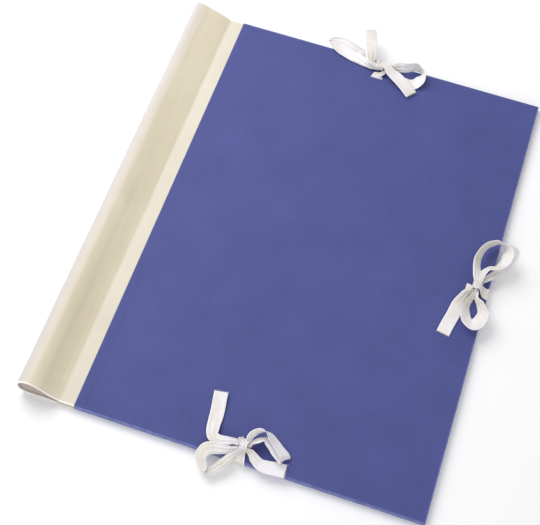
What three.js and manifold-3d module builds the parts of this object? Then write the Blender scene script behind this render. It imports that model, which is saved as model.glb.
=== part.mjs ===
// Paper tie folder: two paper-covered boards on a cloth spine, held shut by three pairs of cotton tapes.
// Millimetres. The origin is the middle of the back cover's outer face. +X runs from the spine to the
// fore edge, +Y to the head, +Z up through the front cover.
import * as THREE from 'three';
import { mergeVertices } from 'three/addons/utils/BufferGeometryUtils.js';
import Module from 'manifold-3d';

const wasm = await Module();
wasm.setup();

// Boards and papers
const boardWidth = 320;
const boardHeight = 435;
const boardThickness = 2;
const paperThickness = 0.3;
const liningThickness = 0.3;
const turnInWidth = 6;
const liningClearance = 0.3;
const coverGap = 0.6;

// Spine cloth
const clothThickness = 0.4;
const stripWidth = 14;
const overlapWidth = 8;
const spineReach = 37.5;
const spineRise = 23;
const gussetSteps = 44;

// Tapes, their slits and knots
const tapeWidth = 12;
const tapeThickness = 0.5;
const strandThickness = 0.6;
const slitInset = 20;
const slitClearance = 0.3;
const anchorLength = 20;
const edgeClearance = 0.4;
const coreRadius = 2.6;
const coreLength = 15;
const knotClearance = 0.3;
const ringWall = 1.3;
const ringLength = 7;
const knotHeight = 5;
const stepsPerStation = 3;

// Heights of the layers, counted outwards from the inner face of a cover
const boardInner = liningThickness;
const boardOuter = boardInner + boardThickness;
const paperOuter = boardOuter + paperThickness;
const clothOuter = boardOuter + clothThickness;
const ridgeOuter = clothOuter + paperThickness;
const middle = paperOuter + coverGap / 2;
const topFace = 2 * middle;

// Places along X
const crease = -boardWidth / 2;
const foreEdge = boardWidth / 2;
const stripEdge = crease + stripWidth;
const clothEdge = stripEdge + overlapWidth;
const endEdge = boardHeight / 2;

const blue = { color: 0x4a4d90, roughness: 0.85, metalness: 0 };
const cream = { color: 0xe2dac2, roughness: 0.8, metalness: 0 };
const board = { color: 0x8f8675, roughness: 0.95, metalness: 0 };
const liningPaper = { color: 0xe9e6dc, roughness: 0.9, metalness: 0 };
const cotton = { color: 0xf1eeea, roughness: 0.9, metalness: 0 };

const group = new THREE.Group();

function toSolid(geometry) {
  const bare = geometry.clone();
  bare.deleteAttribute('normal');
  bare.deleteAttribute('uv');
  const merged = mergeVertices(bare, 1e-5);
  return new wasm.Manifold(new wasm.Mesh({
    numProp: 3,
    vertProperties: new Float32Array(merged.attributes.position.array),
    triVerts: new Uint32Array(merged.index.array),
  }));
}

function toGeometry(solid) {
  const mesh = solid.getMesh();
  const geometry = new THREE.BufferGeometry();
  geometry.setAttribute('position', new THREE.BufferAttribute(mesh.vertProperties, 3));
  geometry.setIndex(new THREE.BufferAttribute(mesh.triVerts, 1));
  geometry.computeVertexNormals();
  return geometry;
}

function addPart(name, solid, finish, parent = group) {
  const mesh = new THREE.Mesh(toGeometry(solid), new THREE.MeshStandardMaterial(finish));
  mesh.name = name;
  parent.add(mesh);
}

// A box between two corners
function block(x0, x1, y0, y1, z0, z1) {
  const geometry = new THREE.BoxGeometry(x1 - x0, y1 - y0, z1 - z0);
  geometry.translate((x0 + x1) / 2, (y0 + y1) / 2, (z0 + z1) / 2);
  return toSolid(geometry);
}

// A box in one cover, with its layers counted outwards from the cover's inner face
function layer(side, x0, x1, y0, y1, inner, outer) {
  const low = middle + side * (coverGap / 2 + inner);
  const high = middle + side * (coverGap / 2 + outer);
  return block(x0, x1, y0, y1, Math.min(low, high), Math.max(low, high));
}

const join = (solids) => solids.reduce((whole, next) => whole.add(next));

// Strands that lie together can close off a sliver of air between them: that pocket is filled
const fillPockets = (solid) => join(solid.decompose().filter((shell) => shell.volume() > 0));

const cut = (solid, tools) => tools.reduce((left, tool) => left.subtract(tool), solid);

// Each tie sits at the middle of its edge; u runs along the edge, v from the edge into the cover
const ties = {
  head: { place: [0, endEdge], turn: Math.PI },
  fore_edge: { place: [foreEdge, 0], turn: Math.PI / 2 },
  tail: { place: [0, -endEdge], turn: 0 },
};

// A box in tie coordinates, turned to the row's axes
function tieBox(tie, u0, u1, v0, v1, z0, z1) {
  const along = [Math.round(Math.cos(tie.turn)), Math.round(Math.sin(tie.turn))];
  const corner = (u, v) => [
    tie.place[0] + u * along[0] - v * along[1],
    tie.place[1] + u * along[1] + v * along[0],
  ];
  const a = corner(u0, v0);
  const b = corner(u1, v1);
  const [x0, x1] = [Math.min(a[0], b[0]), Math.max(a[0], b[0])];
  const [y0, y1] = [Math.min(a[1], b[1]), Math.max(a[1], b[1])];
  return block(x0, x1, y0, y1, z0, z1);
}

function tieLayer(side, tie, u0, u1, v0, v1, inner, outer) {
  const low = middle + side * (coverGap / 2 + inner);
  const high = middle + side * (coverGap / 2 + outer);
  return tieBox(tie, u0, u1, v0, v1, Math.min(low, high), Math.max(low, high));
}

const halfSlit = tapeWidth / 2 + slitClearance;
const slitHalfGap = tapeThickness / 2 + slitClearance;
const anchorEnd = slitInset + anchorLength;

// The slit through a cover, and the shallow recess that takes the glued end of its tape
function slitCuts(side) {
  const near = slitInset - slitHalfGap;
  const far = slitInset + slitHalfGap;
  const recessEnd = anchorEnd + slitClearance;
  return Object.values(ties).flatMap((tie) => [
    tieLayer(side, tie, -halfSlit, halfSlit, near, far, boardInner, ridgeOuter),
    tieLayer(side, tie, -halfSlit, halfSlit, near, recessEnd, boardInner, boardInner + tapeThickness),
  ]);
}

function makeBoard(side) {
  const slab = layer(side, crease, foreEdge, -endEdge, endEdge, boardInner, boardOuter);
  return cut(slab, slitCuts(side));
}

// The blue paper laps over the cloth, covers the board and turns in over three edges
function makeCoverPaper(side) {
  const outX = foreEdge + paperThickness;
  const outY = endEdge + paperThickness;
  const lapEnd = clothEdge + paperThickness;
  const sheet = layer(side, clothEdge, outX, -outY, outY, 0, paperOuter);
  const lap = layer(side, stripEdge, lapEnd, -outY, outY, 0, ridgeOuter);
  const start = stripEdge - 1;
  const innerX = foreEdge - turnInWidth;
  const innerY = endEdge - turnInWidth;
  const hollow = [
    layer(side, start, foreEdge, -endEdge, endEdge, boardInner, boardOuter),
    layer(side, start, clothEdge, -endEdge, endEdge, boardInner, clothOuter),
    layer(side, start, innerX, -innerY, innerY, -1, boardInner),
  ];
  return cut(cut(sheet.add(lap), hollow), slitCuts(side));
}

function makeLining(side) {
  const inset = turnInWidth + liningClearance;
  return layer(side, crease, foreEdge - inset, -endEdge + inset, endEdge - inset, 0, liningThickness);
}

// The middle line of the gusset, as X from the crease and height from the back cover's outer face
const reach = spineReach - clothThickness / 2;
const foot = clothThickness / 2 - (clothOuter - paperOuter);
const frontLine = topFace + (clothOuter - paperOuter) - clothThickness / 2;
const gussetPoints = [
  [0, frontLine],
  [-0.13 * reach, foot + 0.36 * spineRise],
  [-0.3 * reach, foot + 0.58 * spineRise],
  [-0.46 * reach, foot + 0.83 * spineRise],
  [-0.66 * reach, foot + spineRise],
  [-0.86 * reach, foot + 0.92 * spineRise],
  [-0.965 * reach, foot + 0.67 * spineRise],
  [-reach, foot + 0.42 * spineRise],
  [-0.94 * reach, foot + 0.12 * spineRise],
  [-0.79 * reach, foot + 0.01 * spineRise],
  [-0.5 * reach, foot],
  [-0.2 * reach, foot],
  [0, foot],
];

// The cloth strip: a flange on each board and the open loop between them
function makeSpineCloth() {
  const curve = new THREE.CatmullRomCurve3(gussetPoints.map(([x, z]) => new THREE.Vector3(x + crease, z, 0)));
  const outline = { outer: [], inner: [] };
  for (let i = 0; i <= gussetSteps; i += 1) {
    const t = i / gussetSteps;
    const point = curve.getPoint(t);
    const tangent = curve.getTangent(t);
    const across = new THREE.Vector2(tangent.y, -tangent.x).multiplyScalar(clothThickness / 2);
    if (i === 0) across.set(0, clothThickness / 2);
    if (i === gussetSteps) across.set(0, -clothThickness / 2);
    outline.outer.push(new THREE.Vector2(point.x + across.x, point.y + across.y));
    outline.inner.push(new THREE.Vector2(point.x - across.x, point.y - across.y));
  }
  const edge = (height, sign) => new THREE.Vector2(clothEdge, height + sign * clothThickness / 2);
  const loop = [
    edge(frontLine, 1), ...outline.outer, edge(foot, -1),
    edge(foot, 1), ...outline.inner.reverse(), edge(frontLine, -1),
  ];
  const settings = { depth: boardHeight, bevelEnabled: false };
  const geometry = new THREE.ExtrudeGeometry(new THREE.Shape(loop), settings);
  geometry.rotateX(Math.PI / 2);
  geometry.translate(0, endEdge, 0);
  return toSolid(geometry);
}

// A flat strand of tape through stations [u, v, w, heading, tilt, width]: u, v and w place its middle,
// w being the height over the front cover; heading and tilt, in degrees, point across its width
function strandSections(stations) {
  const middleLine = new THREE.CatmullRomCurve3(stations.map(([u, v, w]) => new THREE.Vector3(u, v, w)));
  const across = stations.map(([, , , heading, tilt]) => {
    const h = THREE.MathUtils.degToRad(heading);
    const t = THREE.MathUtils.degToRad(tilt);
    return new THREE.Vector3(Math.cos(t) * Math.cos(h), Math.cos(t) * Math.sin(h), Math.sin(t));
  });
  for (let i = 1; i < across.length; i += 1) {
    if (across[i].dot(across[i - 1]) < 0) across[i].negate();
  }
  const spans = stations.length - 1;
  const steps = spans * stepsPerStation;
  const sections = [];
  for (let i = 0; i <= steps; i += 1) {
    const t = i / steps;
    const here = Math.min(Math.floor(t * spans + 1e-9), spans - 1);
    const part = t * spans - here;
    const tangent = middleLine.getTangent(t);
    const side = across[here].clone().lerp(across[here + 1], part);
    side.addScaledVector(tangent, -side.dot(tangent)).normalize();
    const up = new THREE.Vector3().crossVectors(tangent, side);
    const width = THREE.MathUtils.lerp(stations[here][5], stations[here + 1][5], part);
    const centre = middleLine.getPoint(t);
    sections.push([[1, 1], [-1, 1], [-1, -1], [1, -1]].map(([s, n]) => centre.clone()
      .addScaledVector(side, (s * width) / 2)
      .addScaledVector(up, (n * strandThickness) / 2)));
  }
  return sections;
}

function skinSections(sections) {
  const positions = sections.flat().flatMap((corner) => corner.toArray());
  const last = 4 * (sections.length - 1);
  const indices = [0, 2, 1, 0, 3, 2, last, last + 1, last + 2, last, last + 2, last + 3];
  for (let i = 0; i < last; i += 4) {
    for (let k = 0; k < 4; k += 1) {
      const a = i + k;
      const b = i + ((k + 1) % 4);
      indices.push(a, b, b + 4, a, b + 4, a + 4);
    }
  }
  const geometry = new THREE.BufferGeometry();
  geometry.setAttribute('position', new THREE.BufferAttribute(new Float32Array(positions), 3));
  geometry.setIndex(indices);
  return toSolid(geometry);
}

// A loop is skinned as its way out and its way back, which meet at its far turn
function makeStrand({ from, route, to }) {
  const stations = [from, ...route, to].filter(Boolean);
  const sections = strandSections(stations);
  if (!to) return skinSections(sections);
  const turn = Math.round(sections.length / 2);
  return skinSections(sections.slice(0, turn + 1)).add(skinSections(sections.slice(turn)));
}

// Where a strand leaves the knot: an end of the front tape's core, or the back tape's ring round it
const ringInner = coreRadius + knotClearance;
const ringMiddle = ringInner + ringWall / 2;
const rootWidth = 4;
const coreEnd = (knot, end) => [end * (coreLength / 2 - 1), knot, knotHeight, 90, 0, rootWidth];
const ringRoots = (knot) => ({
  edgeSide: [0, knot - ringMiddle, knotHeight, 90, 90, rootWidth],
  farSide: [0, knot + ringMiddle, knotHeight, 90, 90, rootWidth],
  top: [0, knot, knotHeight + ringMiddle, 90, 0, rootWidth],
});

function makeCore(knot) {
  const geometry = new THREE.CylinderGeometry(coreRadius, coreRadius, coreLength, 14);
  geometry.rotateZ(Math.PI / 2);
  geometry.translate(0, knot, knotHeight);
  return toSolid(geometry);
}

function makeRing(knot) {
  const half = ringLength / 2;
  const outer = ringInner + ringWall;
  const round = ringWall / 3;
  const profile = [
    [ringInner, -half], [outer - round, -half], [outer, -half + round],
    [outer, half - round], [outer - round, half], [ringInner, half], [ringInner, -half],
  ].map(([r, h]) => new THREE.Vector2(r, h));
  const geometry = new THREE.LatheGeometry(profile, 16);
  geometry.rotateZ(Math.PI / 2);
  geometry.translate(0, knot, knotHeight);
  return toSolid(geometry);
}

// The tape from its glued end through the slit: the front one to the cover's face, the back one
// flat under the cover and up over the edges of both covers
const halfTape = tapeWidth / 2;
const wallInner = -(paperThickness + edgeClearance);
const wallOuter = wallInner - tapeThickness;
const slitFar = slitInset + tapeThickness / 2;
const slitNear = slitInset - tapeThickness / 2;

function makeFrontRoot(tie) {
  const anchorTop = boardInner + tapeThickness;
  return join([
    tieLayer(1, tie, -halfTape, halfTape, slitNear, anchorEnd, boardInner, anchorTop),
    tieLayer(1, tie, -halfTape, halfTape, slitNear, slitFar, boardInner, paperOuter + strandThickness),
  ]);
}

function makeBackRoot(tie) {
  const anchorTop = boardInner + tapeThickness;
  return join([
    tieLayer(-1, tie, -halfTape, halfTape, slitNear, anchorEnd, boardInner, anchorTop),
    tieLayer(-1, tie, -halfTape, halfTape, slitNear, slitFar, boardInner, paperOuter + tapeThickness),
    tieLayer(-1, tie, -halfTape, halfTape, wallOuter, slitFar, paperOuter, paperOuter + tapeThickness),
    tieBox(tie, -halfTape, halfTape, wallOuter, wallInner, -tapeThickness, topFace + strandThickness / 2),
  ]);
}

// How each bow lies, with its knot this far in from the edge
const bows = {
  tail: {
    knot: 10.5,
    frontRiser: [[0, 18.6, 0.9, 0, 0, 9.5], [-3.4, 16.9, 2.1, -45, 0, 5], [-6.4, 13.6, 3.8, -20, 0, 3.4]],
    riserEnd: -1,
    frontLoop: [
      [7.5, 15.5, 6.5, 130, 30, 5], [4.8, 21.3, 8.5, 155, 68, 9], [8, 27, 10.4, 195, 78, 11],
      [14.5, 29, 10.4, 222, 64, 12], [21, 25.4, 9.6, 230, 50, 12], [28.5, 19.4, 8, 230, 42, 12],
      [35.5, 14, 7, 230, 36, 12], [36, 11.8, 4.6, 230, 20, 12], [29, 16, 4.6, 230, 30, 12],
      [21.5, 21, 5.8, 230, 35, 11], [16, 24, 6.6, 235, 45, 8.5], [11, 20.5, 6.8, 245, 50, 7],
      [8, 16.5, 5, 250, 45, 5],
    ],
    loopEnd: 1,
    frontTail: [
      [-11, 13, 5, 90, 70, 7], [-19, 11, 5.2, 80, 75, 7.5], [-26, 12, 5.4, 40, 40, 9],
      [-28.5, 18, 3, 15, 10, 11.5], [-30, 32, 1.6, 5, 0, 12], [-33, 52, 3, 5, 0, 12],
    ],
    tailEnd: -1,
    backLoop: [
      [-6, 5.6, 4.4, 90, 60, 5], [-12.5, 6.8, 5, 100, 35, 7], [-20, 5, 6, 98, 20, 8.5],
      [-28, 1, 6.4, 95, 5, 10.5], [-32.2, -5, 3.6, 92, 0, 11.5], [-28.5, -11, 0.6, 98, -8, 12],
      [-21, -12.6, -1.2, 108, -15, 11.5], [-13.5, -6.6, 1.2, 118, -15, 9.5], [-8, 0.2, 3.2, 115, -12, 7.5],
      [-3.2, 4.4, 3.6, 100, 60, 5],
    ],
    backLoopRoots: ['edgeSide', 'edgeSide'],
    backTail: [
      [5, 5.6, 4.4, 100, 60, 5], [9.3, 5.4, 4.6, 90, 25, 7], [14, 3, 3.8, 95, 0, 9],
      [18.5, 1.9, 2.6, 105, 5, 10], [23.5, 2.6, 1.8, 95, 0, 11], [31, 3.5, 1.3, 88, 0, 12],
      [40, 3.8, 1.2, 88, 0, 12],
    ],
    backTailRoot: 'edgeSide',
  },
  head: {
    knot: 9,
    frontRiser: [[0, 18.6, 0.9, 0, 0, 9.5], [-3, 16.2, 2.2, -45, 0, 5], [-6.4, 12.4, 3.8, -20, 0, 3.4]],
    riserEnd: -1,
    frontLoop: [
      [-12, 7, 5.6, -80, 60, 6], [-19, 5, 6.4, -80, 65, 10], [-27, 4, 8, -60, 80, 12],
      [-35, 0, 7.5, -130, 85, 12], [-42, 3, 6.5, 125, 55, 12], [-41, 12, 3.4, 160, 20, 12],
      [-36, 17, 1.2, 120, 0, 12], [-27, 17, 1.2, 95, 0, 11], [-17, 13, 1.8, 80, 0, 9], [-10, 10, 3.8, 80, 0, 5],
    ],
    loopEnd: -1,
    frontTail: [
      [9, 7, 6.2, 50, 0, 5], [12, -1, 9, 15, 0, 10], [16, -13, 10, 22, 0, 12], [21, -27, 11, 22, 0, 12],
    ],
    tailEnd: 1,
    backLoop: [
      [7, 4, 3.6, -90, 20, 5], [14, 2.6, 4.4, -90, 20, 8], [24, 1, 6.4, -90, 30, 11],
      [34, -2.4, 7.2, -95, 35, 12], [44, -6.2, 7.4, -105, 33, 12], [53, -8, 6.4, -140, 28, 11],
      [50, -5, 4.6, -125, 25, 12], [41, -1.2, 4.2, -105, 25, 12], [30, 3, 4, -95, 25, 11.5],
      [19, 7.6, 4.2, -90, 32, 9.5], [11, 11.5, 5, -90, 70, 7],
    ],
    backLoopRoots: ['edgeSide', 'farSide'],
    backTail: [
      [-7, 10, 8.9, 80, 0, 7], [-12.5, 14, 7, 65, 0, 10], [-20, 17, 5.2, 62, 0, 12],
      [-30, 23.5, 3.6, 60, 0, 12], [-38, 30, 2.6, 58, 0, 12],
    ],
    backTailRoot: 'top',
  },
  fore_edge: {
    knot: 10.5,
    frontRiser: [[0, 18.6, 0.9, 0, 0, 9.5], [-3.4, 16.9, 2.1, -45, 0, 5], [-6.4, 13.6, 3.8, -20, 0, 3.4]],
    riserEnd: -1,
    frontLoop: [
      [-9, 13, 5.6, 100, 40, 6], [-16, 15, 6, 120, 50, 10], [-25, 15, 6, 130, 35, 12],
      [-33, 12, 6, 140, 25, 12], [-36, 6, 5.5, 185, 20, 12], [-32, 2, 5, 220, 10, 12],
      [-23, 0, 5, 245, 25, 12], [-15, 4, 5.5, 255, 50, 10], [-9, 9, 5.2, 260, 60, 5],
    ],
    loopEnd: -1,
    frontTail: [
      [9, 8, 4.2, 60, 0, 5], [14, 2.4, 3.6, 50, 0, 8], [21, -3, 1.8, 55, 10, 10.5],
      [29, -5, 0, 68, 22, 11.5], [40, -8.6, -1.4, 85, 28, 12], [50, -11.4, -1.6, 88, 28, 12],
      [57, -11.8, -1.4, 90, 28, 12],
    ],
    tailEnd: 1,
    backLoop: [
      [7, 12.8, 8.6, 100, 8, 6], [15, 15, 8.8, 100, 35, 9], [24, 17, 9, 110, 50, 11],
      [33, 16.4, 9.2, 115, 58, 12], [42.5, 12.6, 9.4, 112, 70, 12], [48.5, 6, 9.4, 130, 80, 12],
      [50, -0.5, 9, 190, 68, 12], [46.5, -5.8, 8.4, 235, 46, 12], [40, -7.8, 8, 262, 34, 12],
      [33.5, -7.4, 7.8, 265, 32, 10.5], [28, -5, 7.8, 235, 32, 8.5], [24.4, -0.5, 8, 195, 32, 7.5],
      [22.2, 5, 7.8, 185, 32, 7.5], [17, 9, 7.2, 220, 25, 7], [10.5, 10.2, 8.4, 255, 12, 6],
    ],
    backLoopRoots: ['top', 'top'],
    backTail: [
      [-4, 15.4, 7.2, 80, 60, 4.6], [-9, 19, 6, 95, 20, 9], [-19, 22.5, 1.8, 95, 0, 12],
      [-30, 24.5, 1.2, 92, 0, 12], [-41, 27, 1, 85, 0, 12], [-50, 28.5, 1, 80, 0, 12],
    ],
    backTailRoot: 'farSide',
  },
};

const frontStart = [0, slitInset, strandThickness / 2, 0, 0, tapeWidth];
const backRiser = (knot) => [
  [0, (wallInner + wallOuter) / 2, 0, 0, 0, tapeWidth], [0, -0.4, 0.9, 0, 0, 11.5], [0, 1.6, 1.3, 0, 0, 10],
  [0, knot - 4.8, 2.5, 0, 0, 5.5], [0, knot - ringMiddle, knotHeight, 0, 0, rootWidth],
];

// The front tape's strands meet in the core of the knot
function makeFrontTape(bow) {
  const loopRoot = coreEnd(bow.knot, bow.loopEnd);
  return join([
    makeCore(bow.knot),
    makeStrand({ from: frontStart, route: [...bow.frontRiser, coreEnd(bow.knot, bow.riserEnd)] }),
    makeStrand({ from: loopRoot, route: bow.frontLoop, to: loopRoot }),
    makeStrand({ from: coreEnd(bow.knot, bow.tailEnd), route: bow.frontTail }),
  ]);
}

// The back tape's strands meet in the ring round that core
function makeBackTape(bow) {
  const roots = ringRoots(bow.knot);
  const [from, to] = bow.backLoopRoots;
  return join([
    makeRing(bow.knot),
    makeStrand({ route: backRiser(bow.knot) }),
    makeStrand({ from: roots[from], route: bow.backLoop, to: roots[to] }),
    makeStrand({ from: roots[bow.backTailRoot], route: bow.backTail }),
  ]);
}

function addTie(name, tie, bow) {
  const place = new THREE.Matrix4().makeRotationZ(tie.turn).setPosition(tie.place[0], tie.place[1], topFace);
  const seat = (solid) => {
    const geometry = toGeometry(solid);
    geometry.applyMatrix4(place);
    return toSolid(geometry);
  };
  addPart(`${name}_front_tape`, fillPockets(seat(makeFrontTape(bow)).add(makeFrontRoot(tie))), cotton);
  addPart(`${name}_back_tape`, fillPockets(seat(makeBackTape(bow)).add(makeBackRoot(tie))), cotton);
}

for (const [name, side] of [['back', -1], ['front', 1]]) {
  addPart(`${name}_board`, makeBoard(side), board);
  addPart(`${name}_cover_paper`, makeCoverPaper(side), blue);
  addPart(`${name}_lining_paper`, makeLining(side), liningPaper);
}
addPart('spine_cloth', makeSpineCloth(), cream);
for (const [name, tie] of Object.entries(ties)) addTie(name, tie, bows[name]);

export default group;
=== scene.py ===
import math

import bmesh
import bpy
from mathutils import Matrix, Vector, noise


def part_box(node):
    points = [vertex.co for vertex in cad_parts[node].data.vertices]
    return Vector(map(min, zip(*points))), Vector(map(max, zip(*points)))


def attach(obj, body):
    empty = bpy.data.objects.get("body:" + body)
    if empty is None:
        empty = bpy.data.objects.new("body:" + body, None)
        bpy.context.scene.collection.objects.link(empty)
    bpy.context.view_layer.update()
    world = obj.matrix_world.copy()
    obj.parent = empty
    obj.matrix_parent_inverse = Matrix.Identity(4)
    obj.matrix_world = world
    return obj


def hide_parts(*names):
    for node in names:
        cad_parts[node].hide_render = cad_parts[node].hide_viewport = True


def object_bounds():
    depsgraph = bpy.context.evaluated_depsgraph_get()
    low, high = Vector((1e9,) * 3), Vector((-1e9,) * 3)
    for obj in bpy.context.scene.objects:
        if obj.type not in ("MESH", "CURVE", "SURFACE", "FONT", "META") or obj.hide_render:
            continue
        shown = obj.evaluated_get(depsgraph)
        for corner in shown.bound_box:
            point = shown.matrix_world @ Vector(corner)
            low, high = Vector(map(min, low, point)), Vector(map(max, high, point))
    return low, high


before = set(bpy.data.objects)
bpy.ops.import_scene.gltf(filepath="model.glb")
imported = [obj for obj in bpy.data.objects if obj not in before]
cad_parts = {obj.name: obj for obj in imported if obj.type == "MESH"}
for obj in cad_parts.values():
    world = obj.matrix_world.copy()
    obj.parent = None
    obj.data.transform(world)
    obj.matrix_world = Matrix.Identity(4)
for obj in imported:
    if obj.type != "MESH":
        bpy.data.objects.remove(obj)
cadBounds = [[float(v) for v in corner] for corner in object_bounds()]
print("frame loaded:", len(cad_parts), "nodes")

mm = 0.001

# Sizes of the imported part, in millimetres
boardLow, boardHigh = [[v / mm for v in corner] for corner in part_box("front_board")]
paperLow, paperHigh = [[v / mm for v in corner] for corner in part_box("front_cover_paper")]
crease = boardLow[0]
foreEdge = boardHigh[0]
endEdge = boardHigh[1]
paperThickness = paperHigh[0] - foreEdge
topFace = boardHigh[2] + paperThickness
stripEdge = paperLow[0]
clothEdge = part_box("spine_cloth")[1][0] / mm
ridgeEdge = clothEdge + paperThickness
clothThickness = 0.4  # as in the part's source


# Small helpers

def linear(hexColour):  # sRGB hex to a linear colour
    parts = [int(hexColour[i:i + 2], 16) / 255 for i in (1, 3, 5)]
    return [v / 12.92 if v <= 0.04045 else ((v + 0.055) / 1.055) ** 2.4 for v in parts] + [1]


def setStops(elements, stops):
    while len(elements) < len(stops):
        elements.new(0.5)
    for element, (place, colour) in zip(elements, stops):
        element.position = place
        element.color = linear(colour)


def outputOf(source):  # a node stands for its first output
    return source.outputs[0] if isinstance(source, bpy.types.Node) else source


def addNode(tree, kind, settings=None, links=None):
    node = tree.nodes.new(kind)
    for key, value in (settings or {}).items():
        if key == "stops":
            setStops(node.color_ramp.elements, value)
        elif isinstance(key, int) or key in node.inputs:
            node.inputs[key].default_value = value
        else:
            setattr(node, key, value)
    for socket, source in (links or {}).items():
        tree.links.new(outputOf(source), node.inputs[socket])
    return node


def newMaterial(name, settings):
    material = bpy.data.materials.new(name)
    material.use_nodes = True
    tree = material.node_tree
    tree.nodes.clear()
    shader = addNode(tree, "ShaderNodeBsdfPrincipled", settings)
    addNode(tree, "ShaderNodeOutputMaterial", links={"Surface": shader.outputs[0]})
    return material, tree, shader


def newPiece(name, vertices, faces, material, smooth=True):  # vertices in millimetres
    mesh = bpy.data.meshes.new(name)
    mesh.from_pydata([tuple(c * mm for c in v) for v in vertices], [], faces)
    mesh.update()
    mesh.materials.append(material)
    for polygon in mesh.polygons:
        polygon.use_smooth = smooth
    piece = bpy.data.objects.new(name, mesh)
    bpy.context.scene.collection.objects.link(piece)
    return piece


def bakeModifiers(piece):
    evaluated = piece.evaluated_get(bpy.context.evaluated_depsgraph_get())
    baked = bpy.data.meshes.new_from_object(evaluated)
    piece.modifiers.clear()
    piece.data = baked


def setUv(piece, uvOfVertex):
    layer = piece.data.uv_layers.new(name="UVMap")
    for loop in piece.data.loops:
        layer.data[loop.index].uv = uvOfVertex[loop.vertex_index]


# Camera at the photograph's angle, solved from the front board's four corners

cameraView = {
    "target": (-33.8, -33.4, 5.8),  # where the optical axis meets the front cover, mm
    "distance": 1009.1,             # mm
    "azimuth": 15.5,                # degrees, turned to the fore edge
    "elevation": 62.26,
    "roll": 3.46,
    "lens": 74.6,                   # mm
    "sensor": 36,
}


def makeCamera(view):
    azimuth, elevation = math.radians(view["azimuth"]), math.radians(view["elevation"])
    back = Vector((math.sin(azimuth) * math.cos(elevation), -math.cos(azimuth) * math.cos(elevation),
                   math.sin(elevation)))
    right = Vector((0, 0, 1)).cross(back).normalized()
    up = back.cross(right)
    place = Vector(view["target"]) + back * view["distance"]
    turn = Matrix((right, up, back)).transposed() @ Matrix.Rotation(math.radians(view["roll"]), 3, "Z")
    data = bpy.data.cameras.new("camera")
    data.lens = view["lens"]
    data.sensor_width = view["sensor"]
    data.sensor_fit = "HORIZONTAL"
    data.clip_start = 0.05
    data.clip_end = 20
    camera = bpy.data.objects.new("camera", data)
    camera.matrix_world = Matrix.Translation(place * mm) @ turn.to_4x4()
    bpy.context.scene.collection.objects.link(camera)
    bpy.context.scene.camera = camera


makeCamera(cameraView)
print("camera placed")


# Materials

def finishSurface(tree, shader, colour, height, strength, depth):  # depth of the relief in mm
    bump = addNode(tree, "ShaderNodeBump", {"Strength": strength, "Distance": depth * mm}, {"Height": height})
    tree.links.new(outputOf(colour), shader.inputs["Base Color"])
    tree.links.new(outputOf(bump), shader.inputs["Normal"])


paperWearAndHighlight = {             # mm
    "clouds": 45.5,       # across one cloud of the dye
    "fibres": 1.613,      # across a clump of fibres; real ones are finer and wouldn't show
    "patches": 6.25,      # across one patch of the pale rim, rubbed and painted highlight
    "rubbedAndHighlitFrom": -1.2,   # past the board's edge, where the pale rim, rubbed and painted highlight, begins and is full
    "rubbedAndHighlitTo": 0.2,
}


def coverPaperMaterial(surfaceSizes):
    # Uncoated dyed cover paper, calendered: matt, a slow cloudy mottle and short fibres, edges paler: rubbed,
    # plus a painted highlight
    material, tree, shader = newMaterial("dyedCoverPaper", {"Roughness": 0.72, "IOR": 1.5})
    spot = addNode(tree, "ShaderNodeTexCoord").outputs["Object"]
    clouds = addNode(tree, "ShaderNodeTexNoise",
                     {"Scale": 1 / (surfaceSizes["clouds"] * mm), "Detail": 3.0, "Roughness": 0.55},
                     {"Vector": spot})
    fibres = addNode(tree, "ShaderNodeTexNoise",
                     {"Scale": 1 / (surfaceSizes["fibres"] * mm), "Detail": 3.0, "Roughness": 0.7}, {"Vector": spot})
    mottle = addNode(tree, "ShaderNodeMix", {"data_type": "FLOAT", "Factor": 0.55},
                     {"A": clouds, "B": fibres})
    dyed = addNode(tree, "ShaderNodeValToRGB", {"stops": [(0.34, "#414785"), (0.66, "#4a5191")]}, {0: mottle})
    # The rim is where a point passes the board's edge, sideways or at an end, whichever is more
    apart = addNode(tree, "ShaderNodeSeparateXYZ", links={0: spot}).outputs
    sideways = addNode(tree, "ShaderNodeMath", {"operation": "SUBTRACT", 1: foreEdge * mm}, {0: apart[0]})
    height = addNode(tree, "ShaderNodeMath", {"operation": "ABSOLUTE"}, {0: apart[1]})
    endways = addNode(tree, "ShaderNodeMath", {"operation": "SUBTRACT", 1: endEdge * mm}, {0: height})
    rim = addNode(tree, "ShaderNodeMath", {"operation": "MAXIMUM"}, {0: sideways, 1: endways})
    # Painted highlight and rubbing: the rim is paler, as where the board's edges catch the light and are worn
    rubbedAndHighlitRim = addNode(tree, "ShaderNodeMapRange",
                   {"From Min": surfaceSizes["rubbedAndHighlitFrom"] * mm, "From Max": surfaceSizes["rubbedAndHighlitTo"] * mm}, {0: rim})
    broken = addNode(tree, "ShaderNodeTexNoise", {"Scale": 1 / (surfaceSizes["patches"] * mm), "Detail": 2.0},
                     {"Vector": spot})
    patchyRubAndHighlight = addNode(tree, "ShaderNodeMath", {"operation": "MULTIPLY"}, {0: rubbedAndHighlitRim, 1: broken})
    colour = addNode(tree, "ShaderNodeMix", {"data_type": "RGBA", "B": linear("#8f97d0")},
                     {"Factor": patchyRubAndHighlight, "A": dyed}).outputs[2]
    finishSurface(tree, shader, colour, fibres, 0.18, 0.2)
    return material


def weaveHeight(tree, threads, pitches):  # plain weave, from how far apart its threads lie, in mm
    waves = []
    for source, pitch in zip(threads, pitches):
        phase = addNode(tree, "ShaderNodeMath", {"operation": "MULTIPLY", 1: 2 * math.pi / (pitch * mm)},
                        {0: source})
        waves.append(addNode(tree, "ShaderNodeMath", {"operation": "SINE"}, {0: phase}))
    return addNode(tree, "ShaderNodeMath", {"operation": "MULTIPLY"}, {0: waves[0], 1: waves[1]})


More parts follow.
